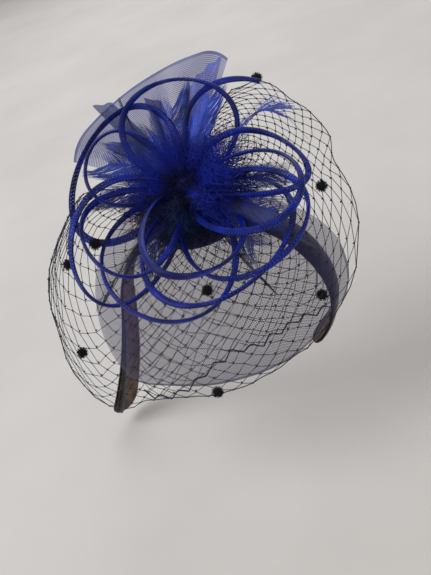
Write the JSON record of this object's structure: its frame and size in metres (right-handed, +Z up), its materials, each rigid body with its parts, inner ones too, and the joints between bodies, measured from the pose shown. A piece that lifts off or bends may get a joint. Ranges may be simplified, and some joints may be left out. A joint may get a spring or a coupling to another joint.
{
  "type": "fascinator headpiece",
  "caption": "Fascinator on a padded headband: royal blue tubular crin loops and feathers over crin sheets and a dotted net veil.",
  "frame": {"origin": "centre of the headband's crown arc, where the wearer's head sits", "axes": "+Z up through the crown, -Y towards the wearer's face, +X towards the side that the flower leans to"},
  "size_m": [0.2011, 0.1829, 0.2214],
  "materials": {
    "core_plastic": "moulded, hidden in the band",
    "band_satin": "woven satin, midnight navy",
    "lining_felt": "brushed felt ribbon, brown",
    "base_felt": "felt, navy",
    "buckram": "stiffened woven buckram, blue",
    "gathered_crin": "gathered nylon crin, royal blue",
    "sewing_thread": "twisted polyester thread",
    "tubular_crin": "braided tubular nylon crin, royal blue, slightly glossy",
    "skirt_crin": "braided nylon crin sheet, violet navy, transparent",
    "fan_crin": "braided nylon crin sheet, grey violet, transparent",
    "veil_net": "knotted Russian net, navy black",
    "chenille": "cut chenille, black",
    "marabou": "dyed marabou down, royal blue",
    "feather": "dyed feather, royal blue to navy"
  },
  "bodies": {
    "root": {"band_core_crown": "core_plastic", "band_cover_crown": "band_satin", "band_lining_crown": "lining_felt", "band_stitches": "sewing_thread", "base_buckram": "buckram", "base_felt": "base_felt", "coque_feather_back": "feather", "coque_feather_front": "feather", "coque_feather_left": "feather", "coque_feather_quill": "feather", "coque_feather_right": "feather", "coque_feather_tip": "feather", "crin_fan": "fan_crin", "crin_loop_front_inner": "tubular_crin", "crin_loop_front_left": "tubular_crin", "crin_loop_front_right": "tubular_crin", "crin_loop_left_inner": "tubular_crin", "crin_loop_left_outer": "tubular_crin", "crin_loop_right_lower": "tubular_crin", "crin_loop_right_middle": "tubular_crin", "crin_loop_right_upper": "tubular_crin", "crin_loop_top": "tubular_crin", "crin_loop_upper_left_inner": "tubular_crin", "crin_loop_upper_left_outer": "tubular_crin", "crin_skirt": "skirt_crin", "crin_tail_left": "fan_crin", "crin_tail_top": "fan_crin", "crin_tube_end": "tubular_crin", "flower_knot": "gathered_crin", "goose_vane_back": "feather", "goose_vane_front": "feather", "goose_vane_left": "feather", "goose_vane_left_low": "feather", "goose_vane_low": "feather", "goose_vane_right": "feather", "goose_vane_right_high": "feather", "goose_vane_top": "feather", "goose_vane_top_left": "feather", "marabou_puff": "marabou", "stem": "gathered_crin", "stem_binding": "sewing_thread", "veil_dots": "chenille", "veil_drape": "veil_net", "veil_hem_cord": "veil_net", "veil_ruffle": "veil_net"},
    "left_arm": {"band_core_left": "core_plastic", "band_cover_left": "band_satin", "band_lining_left": "lining_felt"},
    "right_arm": {"band_core_right": "core_plastic", "band_cover_right": "band_satin", "band_lining_right": "lining_felt"}
  },
  "joints": [
    {"name": "left_arm_spring", "type": "hinge", "parent": "root", "child": "left_arm", "pos_m": [-0.0453, 0, 0.0537], "axis": [0, 1, 0], "range_deg": [0, 9], "stiffness_Nm_per_rad": 1.7},
    {"name": "right_arm_spring", "type": "hinge", "parent": "root", "child": "right_arm", "pos_m": [0.0453, 0, 0.0537], "axis": [0, -1, 0], "range_deg": [0, 9], "stiffness_Nm_per_rad": 1.7}
  ]
}
